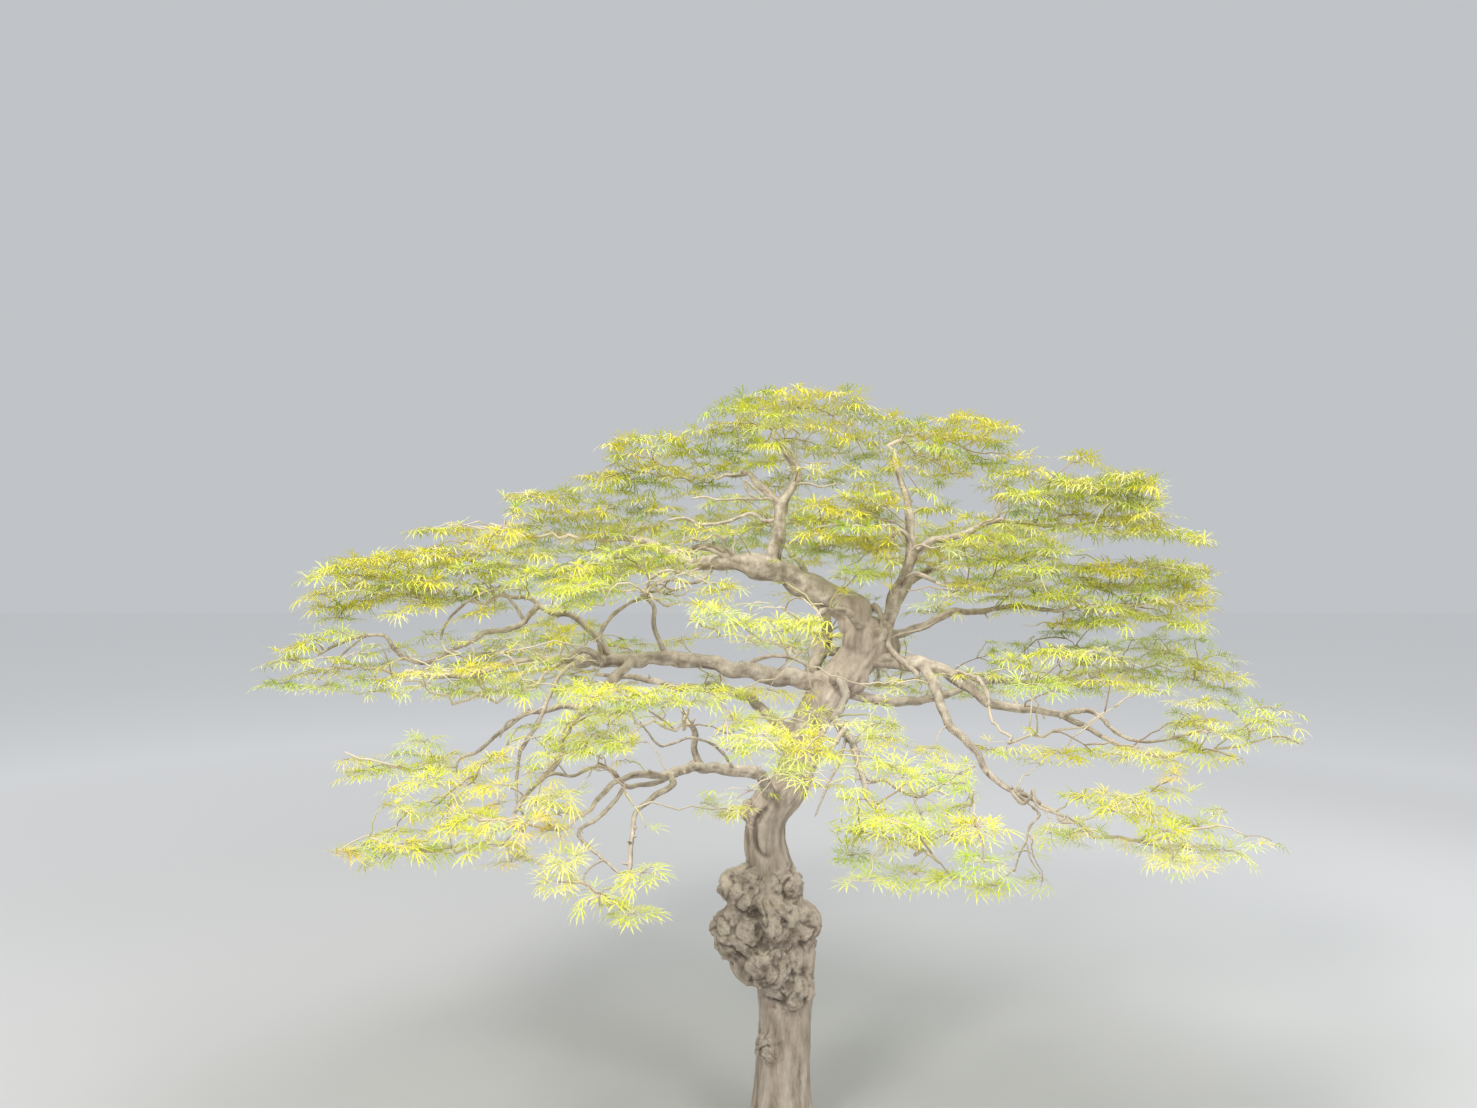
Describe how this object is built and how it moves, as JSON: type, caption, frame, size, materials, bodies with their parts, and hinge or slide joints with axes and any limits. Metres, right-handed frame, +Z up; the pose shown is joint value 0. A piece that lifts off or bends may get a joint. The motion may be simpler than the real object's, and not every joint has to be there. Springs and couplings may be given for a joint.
{
  "type": "japanese maple tree",
  "caption": "Lace-leaf maple pruned as a low, wide umbrella: a leaning trunk with a large burl, crooked spreading boughs and flat drooping pads of fine yellow-green leaves.",
  "frame": {"origin": "middle of the flat cut under the trunk, at ground level", "axes": "+Z up, -Y towards the viewer of the picture, +X to that viewer's right"},
  "size_m": [2.9419, 2.6079, 2.2718],
  "materials": {
    "bark": "rough grey-tan bark with long shallow flutes and knobbly burls",
    "young_bark": "smoother pale grey-tan bark, lighter on top",
    "leaves": "thin satin yellow-green leaves with narrow lobes"
  },
  "bodies": {
    "root": {"trunk": "bark", "leader_left": "young_bark", "leader_right": "young_bark", "bough_left_main": "young_bark", "bough_right_front": "young_bark", "bough_right_back": "young_bark", "bough_front": "young_bark", "bough_front_left": "young_bark", "bough_back": "young_bark", "bough_low_back_left": "young_bark", "bough_low_back_right": "young_bark", "bough_back_left": "young_bark", "bough_back_right": "young_bark", "bough_top": "young_bark", "bough_top_left": "young_bark", "bough_upper_right": "young_bark", "bough_right_shoulder": "young_bark", "bough_right_centre": "young_bark", "bough_centre_up": "young_bark", "bough_centre": "young_bark", "bough_right_low": "young_bark", "bough_right_upper": "young_bark", "bough_front_fork": "young_bark", "bough_front_left_up": "young_bark", "bough_front_hanging": "young_bark", "bough_left_mid": "young_bark", "bough_left_low": "young_bark", "bough_left_outer": "young_bark", "bough_left_upper": "young_bark", "bough_centre_left": "young_bark", "foliage_left_shoulder": "leaves", "foliage_top_right": "leaves", "foliage_left_tip": "leaves", "foliage_right_tip": "leaves", "foliage_right_middle": "leaves", "foliage_front_right_low": "leaves", "foliage_front_left": "leaves", "foliage_back": "leaves", "foliage_low_back_left": "leaves", "foliage_low_back_right": "leaves", "foliage_back_left": "leaves", "foliage_back_right": "leaves", "foliage_crown_top": "leaves", "foliage_top_left": "leaves", "foliage_upper_right": "leaves", "foliage_right_shoulder": "leaves", "foliage_right_centre": "leaves", "foliage_centre_upper": "leaves", "foliage_centre": "leaves", "foliage_right_low": "leaves", "foliage_right_front": "leaves", "foliage_front_centre": "leaves", "foliage_front_left_upper": "leaves", "foliage_front_hanging": "leaves", "foliage_left_middle": "leaves", "foliage_left_low": "leaves", "foliage_left_hanging": "leaves", "foliage_left_upper": "leaves", "foliage_centre_left": "leaves"}
  },
  "joints": []
}
